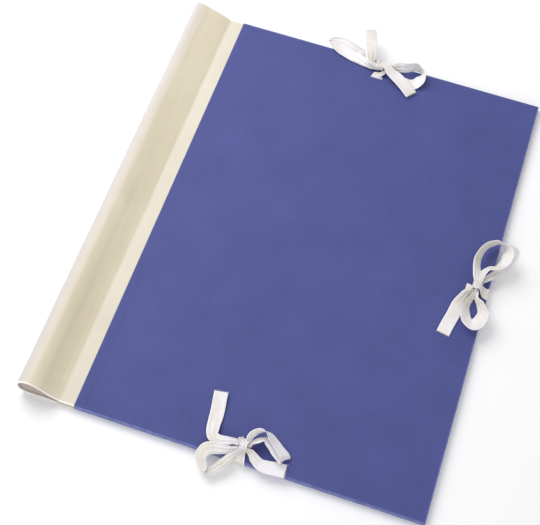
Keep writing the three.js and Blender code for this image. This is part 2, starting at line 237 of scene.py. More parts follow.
def shadeGaps(tree, colour, weave, dark, light):  # the gaps between the threads are darker
    share = addNode(tree, "ShaderNodeMapRange",
                    {"From Min": -1.0, "From Max": 1.0, "To Min": dark, "To Max": light}, {0: weave})
    return addNode(tree, "ShaderNodeVectorMath", {"operation": "SCALE"}, {0: colour, "Scale": share})


clothWearAndHighlight = {             # mm
    "threads": 0.8,       # a real thread is 0.4 mm; 0.8 mm is drawn, so that the weave shows at all
    "slubs": (1.111, 71.4),  # across and along a thicker thread
    "clouds": 38.5,       # across one cloud of the filling
    "rubbedAndHighlitFold": (21, 35),   # out from the crease: the outer fold is pale, partly rubbed by handling, partly a painted highlight
    "pasted": (-1.5, 1),  # in from the crease: paste has bleached the cloth that lies on the board
    "edge": (1.4, 1),     # in from head and tail: the folded edges are rubbed white
    "pastEdge": 0.1,      # the turn-ins past the edge are not
}


def bookClothMaterial(surfaceSizes):
    # Starch-filled book cloth, plain weave: fine even threads, a slight sheen, here and there a thicker slub
    material, tree, shader = newMaterial("filledBookCloth", {"Roughness": 0.46, "Sheen Weight": 0.15})
    places = addNode(tree, "ShaderNodeTexCoord").outputs
    threads = addNode(tree, "ShaderNodeSeparateXYZ", links={0: places["UV"]}).outputs
    weave = weaveHeight(tree, threads, (surfaceSizes["threads"], surfaceSizes["threads"]))
    stretch = addNode(tree, "ShaderNodeMapping", {"Scale": [1 / (v * mm) for v in surfaceSizes["slubs"]] + [1]},
                      {0: places["UV"]})
    slubs = addNode(tree, "ShaderNodeTexNoise", {"Scale": 1.0, "Detail": 2.0}, {"Vector": stretch})
    clouds = addNode(tree, "ShaderNodeTexNoise", {"Scale": 1 / (surfaceSizes["clouds"] * mm), "Detail": 3.0},
                     {"Vector": places["Object"]})
    tone = addNode(tree, "ShaderNodeMix", {"data_type": "FLOAT", "Factor": 0.4}, {"A": clouds, "B": slubs})
    woven = addNode(tree, "ShaderNodeValToRGB", {"stops": [(0.3, "#ddd2b6"), (0.7, "#e9dfc6")]}, {0: tone})
    glued = addNode(tree, "ShaderNodeValToRGB", {"stops": [(0.3, "#d6cebc"), (0.7, "#e2dac9")]}, {0: tone})
    apart = addNode(tree, "ShaderNodeSeparateXYZ", links={0: places["Object"]}).outputs
    # Painted highlight and rubbing: the outer fold turns pale and less yellow
    rubbedAndHighlitFold = addNode(tree, "ShaderNodeMapRange", {
        "From Min": (crease - surfaceSizes["rubbedAndHighlitFold"][0]) * mm,
        "From Max": (crease - surfaceSizes["rubbedAndHighlitFold"][1]) * mm,
    }, {0: apart[0]})
    loose = addNode(tree, "ShaderNodeMix", {"data_type": "RGBA", "B": linear("#d0c9c8")},
                    {"Factor": rubbedAndHighlitFold, "A": woven}).outputs[2]
    pasted = addNode(tree, "ShaderNodeMapRange", {
        "From Min": (crease + surfaceSizes["pasted"][0]) * mm,
        "From Max": (crease + surfaceSizes["pasted"][1]) * mm,
    }, {0: apart[0]})
    body = addNode(tree, "ShaderNodeMix", {"data_type": "RGBA"},
                   {"Factor": pasted, "A": loose, "B": glued}).outputs[2]
    height = addNode(tree, "ShaderNodeMath", {"operation": "ABSOLUTE"}, {0: apart[1]})
    foldEdge = addNode(tree, "ShaderNodeMapRange", {
        "From Min": (endEdge - surfaceSizes["edge"][0]) * mm,
        "From Max": (endEdge - surfaceSizes["edge"][1]) * mm,
    }, {0: height})
    notPast = addNode(tree, "ShaderNodeMath",
                      {"operation": "LESS_THAN", 1: (endEdge + surfaceSizes["pastEdge"]) * mm}, {0: height})
    whitened = addNode(tree, "ShaderNodeMath", {"operation": "MULTIPLY"}, {0: foldEdge, 1: notPast})
    whole = addNode(tree, "ShaderNodeMix", {"data_type": "RGBA", "B": linear("#fdfaf6")},
                    {"Factor": whitened, "A": body}).outputs[2]
    finishSurface(tree, shader, shadeGaps(tree, whole, weave, 0.94, 1.03), weave, 0.35, 0.15)
    return material


tapeWear = {              # mm
    "threads": (1.2, 0.7),  # real picks are 0.35 mm apart; 0.7 mm is drawn, so that the ribs show
    "selvedge": (4.8, 5.4),  # out from the tape's middle
    "clouds": 29.4,       # across one yellowed place
}


def cottonTapeMaterial(surfaceSizes):
    # Bleached cotton tape: ribs across it between two firm selvedges, soft sheen, yellowed in places
    material, tree, shader = newMaterial("bleachedCottonTape", {
        "Roughness": 0.85, "Sheen Weight": 0.3, "Subsurface Weight": 0.06,
        "Subsurface Radius": (2 * mm, 1.8 * mm, 1.6 * mm),
    })
    places = addNode(tree, "ShaderNodeTexCoord").outputs
    threads = addNode(tree, "ShaderNodeSeparateXYZ", links={0: places["UV"]}).outputs
    weave = weaveHeight(tree, threads, surfaceSizes["threads"])
    fromMiddle = addNode(tree, "ShaderNodeMath", {"operation": "ABSOLUTE"}, {0: threads[0]})
    selvedge = addNode(tree, "ShaderNodeMapRange",
                       {"From Min": surfaceSizes["selvedge"][0] * mm, "From Max": surfaceSizes["selvedge"][1] * mm},
                       {0: fromMiddle})
    clouds = addNode(tree, "ShaderNodeTexNoise", {"Scale": 1 / (surfaceSizes["clouds"] * mm), "Detail": 3.0},
                     {"Vector": places["Object"]})
    cotton = addNode(tree, "ShaderNodeValToRGB",
                     {"stops": [(0.34, "#e5dfd4"), (0.48, "#f0ecea"), (0.6, "#faf7fa")]}, {0: clouds})
    firm = addNode(tree, "ShaderNodeMix", {"data_type": "RGBA", "B": linear("#faf8fb")},
                   {"Factor": selvedge, "A": cotton}).outputs[2]
    finishSurface(tree, shader, shadeGaps(tree, firm, weave, 0.93, 1.02), weave, 0.5, 0.15)
    return material


def plainSheetMaterial(name, dark, light, roughness, grain):
    # Uncoated sheet stock: matt, faintly speckled by its fibres. Their clumps are grain mm across, which is
    # coarser than real ones, so that they show
    material, tree, shader = newMaterial(name, {"Roughness": roughness})
    spot = addNode(tree, "ShaderNodeTexCoord").outputs["Object"]
    fibres = addNode(tree, "ShaderNodeTexNoise",
                     {"Scale": 1 / (grain * mm), "Detail": 4.0, "Roughness": 0.7}, {"Vector": spot})
    speckled = addNode(tree, "ShaderNodeValToRGB", {"stops": [(0.35, dark), (0.65, light)]}, {0: fibres})
    finishSurface(tree, shader, speckled, fibres, 0.2, 0.2)
    return material


coverPaper = coverPaperMaterial(paperWearAndHighlight)
bookCloth = bookClothMaterial(clothWearAndHighlight)
cottonTape = cottonTapeMaterial(tapeWear)
clothBacking = plainSheetMaterial("paperClothBacking", "#e9ddd6", "#f3eae3", 0.9, 2.5)
liningPaper = plainSheetMaterial("uncoatedLiningPaper", "#dedacd", "#ebe8df", 0.85, 2.0)
greyboard = plainSheetMaterial("rawGreyboard", "#7d7565", "#958c7b", 0.95, 2.857)

for nodeName, material in {
    "front_lining_paper": liningPaper, "back_lining_paper": liningPaper,
    "front_board": greyboard, "back_board": greyboard,
}.items():
    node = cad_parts[nodeName]
    node.data.materials.clear()
    node.data.materials.append(material)
print("materials made")


# Cover papers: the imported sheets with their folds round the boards' edges softened

coverSheet = {            # mm
    "foldRadius": 0.7,    # paper drawn round a board's edge
    "foldSegments": 3,
    "shortestFold": 1.0,  # shorter edges, at the corners of the step, stay as they are
    "stepTop": 0.77,      # where the paper steps down off the cloth, its top is drawn back this far
    "stepFoot": 1.1,      # and its foot lies this far forward
    "turnIn": 6.0,
    "near": 0.05,         # a point as near as this to an edge is on it
    "weld": 0.001,
    "flatAngle": 0.01,    # radians, flatter edges are taken out
    "sliver": 0.01,       # a face as thin as this is taken out
    "creaseAngle": 32,    # degrees, sharper edges stay crisp
}


def makeCoverPaper(nodeName, size):
    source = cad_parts[nodeName]
    low, high = [[v / mm for v in corner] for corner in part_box(nodeName)]
    near = size["near"]
    outward = 1 if nodeName.startswith("front") else -1
    face = high[2] if outward > 0 else low[2]           # the ridge over the cloth
    sheetFace = face - outward * clothThickness         # the rest of the sheet
    mesh = bmesh.new()
    mesh.from_mesh(source.data)
    bmesh.ops.remove_doubles(mesh, verts=mesh.verts, dist=size["weld"] * mm)
    bmesh.ops.dissolve_limit(mesh, angle_limit=size["flatAngle"], verts=mesh.verts, edges=mesh.edges)
    folded = []
    for vertex in mesh.verts:
        x, z = vertex.co.x / mm, vertex.co.z / mm
        if abs(x - ridgeEdge) > near:
            continue
        if abs(z - face) < near:
            vertex.co.x -= size["stepTop"] * mm
        elif abs(z - sheetFace) < near:
            vertex.co.x += size["stepFoot"] * mm
    for edge in mesh.edges:
        middle = (edge.verts[0].co + edge.verts[1].co) / (2 * mm)
        along = (edge.verts[0].co - edge.verts[1].co) / mm
        atSide = abs(middle.x - high[0]) < near
        atEnd = abs(abs(middle.y) - high[1]) < near
        onFace = min(abs(middle.z - face), abs(middle.z - sheetFace)) < near
        if along.length > size["shortestFold"] and onFace and (atSide or atEnd):
            folded.append(edge)
    bmesh.ops.bevel(mesh, geom=folded, offset=size["foldRadius"] * mm, offset_type="OFFSET",
                    segments=size["foldSegments"], profile=0.5, affect="EDGES", clamp_overlap=False)
    bmesh.ops.remove_doubles(mesh, verts=mesh.verts, dist=size["sliver"] * mm)
    bmesh.ops.dissolve_degenerate(mesh, dist=size["sliver"] * mm, edges=mesh.edges)
    bmesh.ops.triangulate(mesh, faces=mesh.faces)
    data = bpy.data.meshes.new(nodeName + "_dyed")
    mesh.to_mesh(data)
    mesh.free()
    data.materials.append(coverPaper)
    for polygon in data.polygons:
        polygon.use_smooth = True
    data.set_sharp_from_angle(angle=math.radians(size["creaseAngle"]))
    piece = bpy.data.objects.new(nodeName + "_dyed", data)
    bpy.context.scene.collection.objects.link(piece)
    # Normals weighed by face area keep the broad faces flat up to their soft folds
    weigh = piece.modifiers.new("weigh", "WEIGHTED_NORMAL")
    weigh.weight = 100
    weigh.keep_sharp = True
    bakeModifiers(piece)
    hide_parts(nodeName)
    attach(piece, "root")


for nodeName in ("front_cover_paper", "back_cover_paper"):
    makeCoverPaper(nodeName, coverSheet)


# Spine cloth: a flange on each board and the open gusset between them

spineCloth = {                 # mm
    "thickness": clothThickness,
    "reach": 37.5,             # how far the gusset stands out from the crease
    "rise": 23.2,
    "stepsFlange": 10,
    "stepsAround": 110,
    "stepsAlong": 140,
    "ripple": 0.45,            # slow hand-made unevenness of the gusset
    "waves": (0.03, 0.012, 0.05),  # per mm: outward, along the spine, upward
    "fineWaves": (0.12, 0.05),
    "fineShare": 0.3,
    "looseFrom": (3, 8),       # out from the crease, where the ripple begins and how long it grows
    "looseHeight": 4,          # over the table, how high it grows
    "turnInThickness": 0.25,
    "turnInRim": 0.1,
    "hem": [(0, 0.5), (0.35, 0.75), (0.9, 0.75), (1.5, 0)],  # from each end, and how much thicker inside
    "hemFrom": (1, 5),         # out from the crease, as looseFrom
}


def ramp(value, start, length):  # 0 up to start, and 1 from length past it
    return max(0.0, min(1.0, (value - start) / length))


def catmullRom(points, t):  # centripetal, through all the points, t from 0 to 1
    spans = len(points) - 1
    place = min(t, 1) * spans
    i = min(int(place + 1e-9), spans - 1)
    w = place - i
    p1, p2 = points[i], points[i + 1]
    p0 = points[i - 1] if i > 0 else 2 * points[0] - points[1]
    p3 = points[i + 2] if i + 2 <= spans else 2 * points[spans] - points[spans - 1]
    dt0, dt1, dt2 = [max((b - a).length_squared, 1e-12) ** 0.25 for a, b in ((p0, p1), (p1, p2), (p2, p3))]
    m1 = ((p1 - p0) / dt0 - (p2 - p0) / (dt0 + dt1) + (p2 - p1) / dt1) * dt1
    m2 = ((p2 - p1) / dt1 - (p3 - p1) / (dt1 + dt2) + (p3 - p2) / dt2) * dt1
    return p1 + m1 * w + (-3 * p1 + 3 * p2 - 2 * m1 - m2) * w * w + (2 * p1 - 2 * p2 + m1 + m2) * w ** 3


def gussetLine(size, headShare):  # the loop is plump at the tail and sags to a long slope at the head
    half = size["thickness"] / 2
    proud = size["thickness"] - paperThickness
    reach, rise = size["reach"] - half, size["rise"]
    foot = half - proud
    front = topFace + proud - half
    tail = [
        (0, front), (-0.13, foot + 0.36 * rise), (-0.3, foot + 0.58 * rise), (-0.46, foot + 0.83 * rise),
        (-0.66, foot + rise), (-0.86, foot + 0.92 * rise), (-0.965, foot + 0.67 * rise),
        (-1, foot + 0.42 * rise), (-0.94, foot + 0.12 * rise), (-0.79, foot + 0.01 * rise), (-0.5, foot),
        (-0.2, foot), (0, foot),
    ]
    head = [
        (0, front), (-0.17, foot + 0.4 * rise), (-0.39, foot + 0.57 * rise), (-0.56, foot + 0.68 * rise),
        (-0.72, foot + 0.79 * rise), (-0.89, foot + 0.83 * rise), (-0.99, foot + 0.66 * rise),
        (-1.02, foot + 0.43 * rise), (-0.95, foot + 0.13 * rise), (-0.8, foot + 0.01 * rise), (-0.5, foot),
        (-0.2, foot), (0, foot),
    ]
    mix = [Vector(a).lerp(Vector(b), headShare) for a, b in zip(tail, head)]
    return [Vector((crease + x * reach, z, 0)) for x, z in mix], front, foot


def gussetPath(size, headShare):
    line, front, foot = gussetLine(size, headShare)
    start, end = Vector((clothEdge, front, 0)), Vector((clothEdge, foot, 0))
    flange = size["stepsFlange"]
    path = [start.lerp(line[0], i / flange) for i in range(flange)]
    path += [catmullRom(line, i / size["stepsAround"]) for i in range(size["stepsAround"] + 1)]
    return path + [line[-1].lerp(end, i / flange) for i in range(1, flange + 1)]


def makeTurnIns(size):  # the cloth's ends, turned over the boards' ends at head and tail
    vertices, faces = [], []
    thick, rim = size["turnInThickness"], size["turnInRim"]
    backFoot, backTop = [corner[2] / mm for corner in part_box("back_board")]
    for outer, inner in ((boardHigh[2] + clothThickness, boardLow[2]), (backFoot - clothThickness, backTop)):
        for side in (-1, 1):
            flush, proud = side * endEdge, side * (endEdge + thick)
            ring = [(flush, inner), (proud, inner), (proud, outer - math.copysign(rim, outer - inner)),
                    (proud - side * rim, outer), (flush, outer)]
            first = len(vertices)
            vertices += [(x, y, z) for x in (crease, stripEdge) for y, z in ring]
            count = len(ring)
            sides = [(i, (i + 1) % count, (i + 1) % count + count, i + count) for i in range(count)]
            box = sides + [tuple(range(count))[::-1], tuple(range(count, 2 * count))]
            if side * (outer - inner) < 0:  # so that the faces point outwards
                box = [face[::-1] for face in box]
            faces += [tuple(first + i for i in face) for face in box]
    piece = newPiece("spine_cloth_turn_ins", vertices, faces, bookCloth, False)
    setUv(piece, [(v[0] * mm, (v[1] + v[2]) * mm) for v in vertices])
    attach(piece, "root")
    return piece


def makeSpineCloth(size):
    foot = gussetLine(size, 0)[2]
    half = size["thickness"] / 2
    inner = endEdge - size["hem"][-1][0]
    middle = [(inner - 2 * inner * i / size["stepsAlong"], 0) for i in range(1, size["stepsAlong"])]
    head = [(endEdge - inset, hem) for inset, hem in size["hem"]]
    rungs = head + middle + [(-y, hem) for y, hem in head[::-1]]
    rows = len(rungs)
    sections, lengths = [gussetPath(size, 0.5 + y / (2 * endEdge)) for y, hem in rungs], [0.0]
    for a, b in zip(sections[-1], sections[-1][1:]):
        lengths.append(lengths[-1] + (b - a).length)
    count = len(sections[0])
    vertices, uvs, faces = [], [], []
    waves, fineWaves = size["waves"], size["fineWaves"]
    for face in (1, -1):
        for (y, hem), path in zip(rungs, sections):
            for i, point in enumerate(path):
                tangent = (path[min(i + 1, count - 1)] - path[max(i - 1, 0)]).normalized()
                outward = Vector((tangent[1], -tangent[0], 0))
                if point[0] >= crease:
                    outward = Vector((0, 1 if i < count / 2 else -1, 0))
                # Slow waves of a hand-made loop, held where the cloth is glued or lies on the table
                out = crease - point[0]
                loose = ramp(out, *size["looseFrom"]) * ramp(point[1], foot, size["looseHeight"])
                slow = noise.noise(Vector((point[0] * waves[0], y * waves[1], point[1] * waves[2])))
                fine = noise.noise(Vector((point[0] * fineWaves[0], y * fineWaves[1], 3.0)))
                wave = (slow + fine * size["fineShare"]) * size["ripple"]
                # The turned edge is thicker on the inside of the loop
                swell = hem * ramp(out, *size["hemFrom"]) if face < 0 else 0
                place = point + outward * (face * half - swell + wave * loose)
                vertices.append((place[0], y, place[1]))
                uvs.append((lengths[i] * mm, y * mm))
    for base, flip in ((0, False), (rows * count, True)):
        for row in range(rows - 1):
            for i in range(count - 1):
                a = base + row * count + i
                quad = (a, a + 1, a + count + 1, a + count)
                faces.append(quad[::-1] if flip else quad)
    wovenFaces = (rows - 1) * (count - 1)
    other = rows * count
    for i in range(count - 1):
        a = (rows - 1) * count + i
        faces.append((i + 1, i, other + i, other + i + 1))
        faces.append((a, a + 1, other + a + 1, other + a))
    for row in range(rows - 1):
        a, b = row * count, row * count + count - 1
        faces.append((a, a + count, other + a + count, other + a))
        faces.append((b + count, b, other + b, other + b + count))
    piece = newPiece("spine_cloth_woven", vertices, faces, bookCloth)
    piece.data.materials.append(clothBacking)
    turned = (len(size["hem"]) - 1) * (count - 1)       # the hem shows the woven side within the loop too
    for polygon in piece.data.polygons[wovenFaces + turned:2 * wovenFaces - turned]:
        polygon.material_index = 1
    setUv(piece, uvs)
    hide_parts("spine_cloth")
    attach(piece, "root")
    turnIns = makeTurnIns(size)
    print("spine cloth: flat", round(lengths[-1], 1), "by", round(2 * endEdge, 1), "mm")


makeSpineCloth(spineCloth)


# Tapes. Stations are [u, v, w, heading, tilt, width]: u along the edge from its middle, v in from the edge,
# w over the front cover, in mm; heading and tilt point across the tape, in degrees. A knot's place is (u, v).

tapes = {                 # mm
    "width": 12.0,
    "thickness": 0.45,
    "selvedgeShare": 0.55,  # how thick the tape's two edges are, as a share of its thickness
    "dish": 0.22,         # how far the tape's middle stands over its edges
    "wobble": 0.12,
    "wobbleWaves": (2.0, 0.12),
    "slitInset": 20.0,
    "anchorLength": 20.0,
    "gluedDepth": 2.05,   # a glued end lies this far under the cover's outer face
    "wallGap": 0.4,       # between the cover's edge and the tape that passes it
    "lift": 0.25,         # the back tape's middle plane off the surfaces it passes
    "knotHeight": 5.0,
    "ringRadius": 3.3,
    "coreReach": 4.2,     # how far the strands in the knot run on each side of its middle
    "pleats": 2.5,        # folds across a tape where it is drawn together
    "pleatDepth": 0.26,   # share of a pleat's width
    "pleatDrift": 0.05,   # radians for each mm along the tape
    "stepsPerStation": 7,
    "stepsAcross": 14,
}

wrapRound = {             # the back tape's turns round the knot
    "start": -110,        # degrees
    "turns": 1.5,
    "steps": 14,
    "sway": 0.15,         # mm, how uneven the turns are
    "growth": 0.3,        # mm, how much wider the last turn is
    "flat": 0.92,         # height of the ring as a share of its width
    "drift": 0.8,         # mm along the knot, each way
    "heading": 8,         # degrees, how far askew it lies
    "tilt": 6,
    "width": 6.4,
}

bows = {
    "tail": {
        "place": (0, -endEdge), "turn": 0, "knot": (1, 13),
        "frontRiser": [
            [0, 18.6, 0.9, 0, 0, 9.5], [-3.4, 16.9, 2.1, -45, 0, 5], [-6.4, 13.6, 3.8, -20, 0, 3.4]],
        "riserEnd": -1,
        "frontLoop": [
            [3.6, 16.8, 6.4, 140, 40, 5], [4.4, 22, 8.4, 155, 68, 9], [9, 27, 10, 195, 78, 11],
            [15.5, 28.4, 10, 222, 64, 12], [22, 24.6, 9, 230, 50, 12], [29, 19.2, 7.8, 230, 42, 12],
            [36, 14, 6.6, 230, 36, 12], [36.6, 11.8, 4.4, 230, 20, 12], [29.4, 15.6, 4.4, 230, 30, 12],
            [22, 20.4, 5.6, 230, 35, 11], [16, 23, 6.4, 238, 38, 9.5], [10.6, 20, 6.6, 280, 35, 8.5],
            [6.6, 16.6, 5.4, 290, 35, 5.5]],
        "loopEnd": 1,
        "frontTail": [
            [-8, 13.2, 6, 90, 30, 6], [-15, 10.8, 6.4, 88, 18, 8.5], [-21.8, 10, 6, 72, 5, 9.5],
            [-26.8, 13, 4.6, 36, 0, 9.5], [-28.8, 20, 3, 12, 0, 11], [-30, 33, 1.6, 5, 0, 12],
            [-33, 52, 3, 5, 0, 12]],
        "tailEnd": -1,
        "backLoop": [
            [-6, 7.6, 4.2, 90, 50, 5.5], [-12.5, 4.6, 4.4, 95, 30, 8], [-20.5, 3, 5.4, 98, 12, 10],
            [-27.4, -0.4, 5.8, 118, 0, 11.5], [-29.8, -6.4, 4.4, 148, -5, 10.5],
            [-26.8, -12.8, 2.4, 160, -5, 8.5], [-21.8, -18, 0.8, 148, 0, 5.5],
            [-17.4, -14, 0.2, 128, 0, 7], [-12.2, -7.8, 1.6, 126, 0, 7.5], [-7.8, -1, 3, 122, 0, 7],
            [-3.6, 5.6, 3.8, 110, 40, 5.5]],
        "backLoopRoots": ("edgeSide", "edgeSide"),
        "backTail": [
            [4.6, 9.6, 4.8, 100, 50, 5], [8.8, 8.2, 4.8, 72, 20, 6.5], [13.4, 4.8, 3.8, 62, 0, 8.5],
            [18.4, 2.4, 2.6, 85, 0, 10], [24, 2.2, 1.8, 94, 0, 11.5], [31, 3.2, 1.3, 90, 0, 12],
            [40, 4, 1.2, 88, 0, 12]],
        "backTailRoot": "edgeSide",
    },
    "head": {
        "place": (0, endEdge), "turn": math.pi, "knot": (0, 9),
        "frontRiser": [
            [0, 18.6, 0.9, 0, 0, 9.5], [-3, 16.2, 2.2, -45, 0, 5], [-6.4, 12.4, 3.8, -20, 0, 3.4]],
        "riserEnd": -1,
        "frontLoop": [
            [-12, 7, 5.6, -80, 60, 6], [-19, 5, 6.4, -80, 65, 10], [-27, 4, 8, -60, 80, 12],
            [-35, 0, 7.5, -130, 85, 12], [-42, 3, 6.5, 125, 55, 12], [-41, 12, 3.4, 160, 20, 12],
            [-36, 17, 1.2, 120, 0, 12], [-27, 17, 1.2, 95, 0, 11], [-17, 13, 1.8, 80, 0, 9],
            [-10, 10, 3.8, 80, 0, 5]],
        "loopEnd": -1,
        "frontTail": [
            [8.6, 8.2, 5.8, 60, 20, 6], [11.6, 3, 7.4, 28, 10, 10], [13.6, -4, 9.2, 18, 0, 12],
            [16.6, -14, 10, 20, 0, 12], [20.8, -26.5, 11, 22, 0, 12]],
        "tailEnd": 1,
        "backLoop": [
            [7, 4, 3.6, -90, 20, 5], [14, 2.6, 4.4, -90, 20, 8], [24, 1, 6.4, -90, 30, 11],
            [34, -2.4, 7.2, -95, 35, 12], [43, -5, 7.2, -98, 34, 11.5], [50, -5.6, 6.6, -100, 30, 8.5],
            [55.4, -4.8, 5.8, -100, 25, 4], [50, -2.4, 5, -100, 22, 9], [41, 0.4, 4.4, -98, 24, 12],
            [30, 3.8, 4, -95, 25, 12], [19, 7.6, 4.2, -90, 32, 9.5], [11, 11.5, 5, -90, 70, 7]],
        "backLoopRoots": ("edgeSide", "farSide"),
        "backTail": [
            [-7, 10, 8.9, 80, 0, 7], [-12.5, 14, 7, 65, 0, 10], [-20, 17, 5.2, 62, 0, 12],
            [-30, 23.5, 3.6, 60, 0, 12], [-38, 30, 2.6, 58, 0, 12]],
        "backTailRoot": "top",
    },
    "fore_edge": {
        "place": (foreEdge, 0), "turn": math.pi / 2, "knot": (3, 11),
        "frontRiser": [
            [0, 18.6, 0.9, 0, 0, 9.5], [-3.4, 16.9, 2.1, -45, 0, 5], [-6.4, 13.6, 3.8, -20, 0, 3.4]],
        "riserEnd": -1,
        "frontLoop": [
            [-9, 13, 5.6, 100, 40, 6], [-16, 15, 6, 120, 50, 10], [-25, 15, 6, 130, 35, 12],
            [-33, 12, 6, 140, 25, 12], [-36, 6, 5.5, 185, 20, 12], [-32, 2, 5, 220, 10, 12],
            [-23, 0, 5, 245, 25, 12], [-15, 4, 5.5, 255, 50, 10], [-9, 9, 5.2, 260, 60, 5]],
        "loopEnd": -1,
        "frontTail": [
            [9.6, 8.2, 4.2, 60, 0, 5.5], [14.6, 3.6, 3.8, 50, 0, 6.5], [21.4, -1.8, 2.4, 52, 10, 8],
            [29.4, -5, 0.8, 62, 26, 9.5], [40, -8.8, -0.8, 80, 34, 11], [50, -11.4, -1.2, 88, 32, 12],
            [57, -11.8, -1.2, 90, 28, 12]],
        "tailEnd": 1,
        "backLoop": [
            [7, 12.8, 8.6, 100, 8, 6], [15, 15, 8.8, 100, 35, 9], [24, 17, 9, 110, 50, 11],
            [33, 16.4, 9.2, 115, 58, 12], [42.5, 12.6, 9.4, 112, 70, 12], [48.5, 6, 9.4, 130, 80, 12],
            [50, -0.5, 9, 190, 68, 12], [46.5, -5.8, 8.4, 235, 46, 12], [40, -7.8, 8, 262, 34, 12],
            [33.5, -7.4, 7.8, 265, 32, 10.5], [28, -5, 7.8, 235, 32, 8.5],
            [24.4, -0.5, 8, 195, 32, 7.5], [22.2, 5, 7.8, 185, 32, 7.5], [17, 9, 7.2, 220, 25, 7],
            [10.5, 10.2, 8.4, 255, 12, 6]],
        "backLoopRoots": ("top", "top"),
        "backTail": [
            [-4, 15.4, 7.2, 80, 60, 4.6], [-9, 19, 6, 95, 20, 9], [-19, 22.5, 1.8, 95, 0, 12],
            [-30, 24.5, 1.2, 92, 0, 12], [-41, 27, 1, 85, 0, 12], [-50, 28.5, 1, 80, 0, 12]],
        "backTailRoot": "farSide",
    },
}


def direction(heading, tilt):
    h, t = math.radians(heading), math.radians(tilt)
    return Vector((math.cos(t) * math.cos(h), math.cos(t) * math.sin(h), math.sin(t)))


# Loose warp threads at the tapes' cut ends, set out along each cut by a node tree

frays = {
    "Thread Length": 0.0016,  # m
    "Thread Radius": 0.00009,
    "Shortest": 0.35,     # share of the length
    "Spread": 0.45,       # how far a thread leans off the tape's own direction
    "Seed": 11,
}


def makeFrayTree(size):
    tree = bpy.data.node_groups.new("frayedEnd", "GeometryNodeTree")
    tree.interface.new_socket("Geometry", in_out="INPUT", socket_type="NodeSocketGeometry")
    for key, value in size.items():
        kind = "NodeSocketInt" if isinstance(value, int) else "NodeSocketFloat"
        tree.interface.new_socket(key, in_out="INPUT", socket_type=kind).default_value = value
    tree.interface.new_socket("Geometry", in_out="OUTPUT", socket_type="NodeSocketGeometry")
    given = addNode(tree, "NodeGroupInput").outputs
    # One thread stands along Z, bent a little
    bend = addNode(tree, "ShaderNodeVectorMath", {"operation": "SCALE", 0: (0.25, 0.1, 0.55)},
                   {"Scale": given["Thread Length"]})
    tip = addNode(tree, "ShaderNodeVectorMath", {"operation": "SCALE", 0: (0, 0.2, 1)},
                  {"Scale": given["Thread Length"]})
    line = addNode(tree, "GeometryNodeCurveQuadraticBezier", {"Resolution": 4, "Start": (0, 0, 0)},
                   {"Middle": bend, "End": tip})
    ring = addNode(tree, "GeometryNodeCurvePrimitiveCircle", {"Resolution": 5},
                   {"Radius": given["Thread Radius"]})
    thread = addNode(tree, "GeometryNodeCurveToMesh", {"Fill Caps": True},
                     {"Curve": line, "Profile Curve": ring})
    # Each one leans its own way and has its own length
    lean = addNode(tree, "FunctionNodeRandomValue",
                   {"data_type": "FLOAT_VECTOR", 0: (-1, -1, -1), 1: (1, 1, 1)}, {"Seed": given["Seed"]})
    scaled = addNode(tree, "ShaderNodeVectorMath", {"operation": "SCALE"},
                     {0: lean, "Scale": given["Spread"]})
    aim = addNode(tree, "GeometryNodeInputNamedAttribute", {"data_type": "FLOAT_VECTOR", "Name": "aim"})
    leaning = addNode(tree, "ShaderNodeVectorMath", {"operation": "ADD"}, {0: aim, 1: scaled})
    turn = addNode(tree, "FunctionNodeAlignRotationToVector", {"axis": "Z"}, {"Vector": leaning})
    share = addNode(tree, "FunctionNodeRandomValue", {"data_type": "FLOAT", 3: 1.0},
                    {2: given["Shortest"], "Seed": given["Seed"]}).outputs[1]
    threads = addNode(tree, "GeometryNodeInstanceOnPoints", links={
        "Points": given["Geometry"], "Instance": thread, "Rotation": turn, "Scale": share})
    real = addNode(tree, "GeometryNodeRealizeInstances", links={"Geometry": threads})
    clad = addNode(tree, "GeometryNodeSetMaterial", {"Material": cottonTape}, {"Geometry": real})
    addNode(tree, "NodeGroupOutput", links={"Geometry": clad})
    return tree


frayTree = makeFrayTree(frays)


def makeFray(name, cutEnd):  # where each thread leaves the cut, and the way the tape runs there
    piece = newPiece(name, [place for place, aim in cutEnd], [], cottonTape)
    aims = piece.data.attributes.new("aim", "FLOAT_VECTOR", "POINT")
    for item, (place, aim) in zip(aims.data, cutEnd):
        item.vector = aim
    modifier = piece.modifiers.new("fray", "NODES")
    modifier.node_group = frayTree
    for socket in frayTree.interface.items_tree:
        if socket.in_out == "INPUT" and socket.name in frays:
            modifier[socket.identifier] = frays[socket.name]
    bakeModifiers(piece)
    print(name, "threads", len(cutEnd), "faces", len(piece.data.polygons))
    return piece


